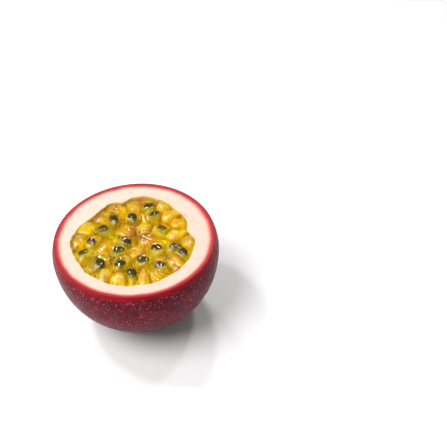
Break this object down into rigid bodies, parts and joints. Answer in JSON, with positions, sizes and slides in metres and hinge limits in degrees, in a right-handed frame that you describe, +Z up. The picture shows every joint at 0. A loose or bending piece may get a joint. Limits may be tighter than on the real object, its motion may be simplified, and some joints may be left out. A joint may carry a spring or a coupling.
{
  "type": "passion fruit half",
  "caption": "Half of a passion fruit, cut face up: a thick pale pith cup under a dark red skin, filled with yellow juice sacs.",
  "frame": {"origin": "middle of the small flat spot that the half rests on", "axes": "+Z up, square to the cut face; +X to the right and +Y away from the viewer, as the picture shows the half"},
  "size_m": [0.0603, 0.0598, 0.0391],
  "materials": {
    "pith": "matt, fresh pith under a thin dark red skin",
    "pulp": "wet and glossy"
  },
  "bodies": {
    "root": {"pith_cup": "pith", "pulp": "pulp"}
  },
  "joints": []
}
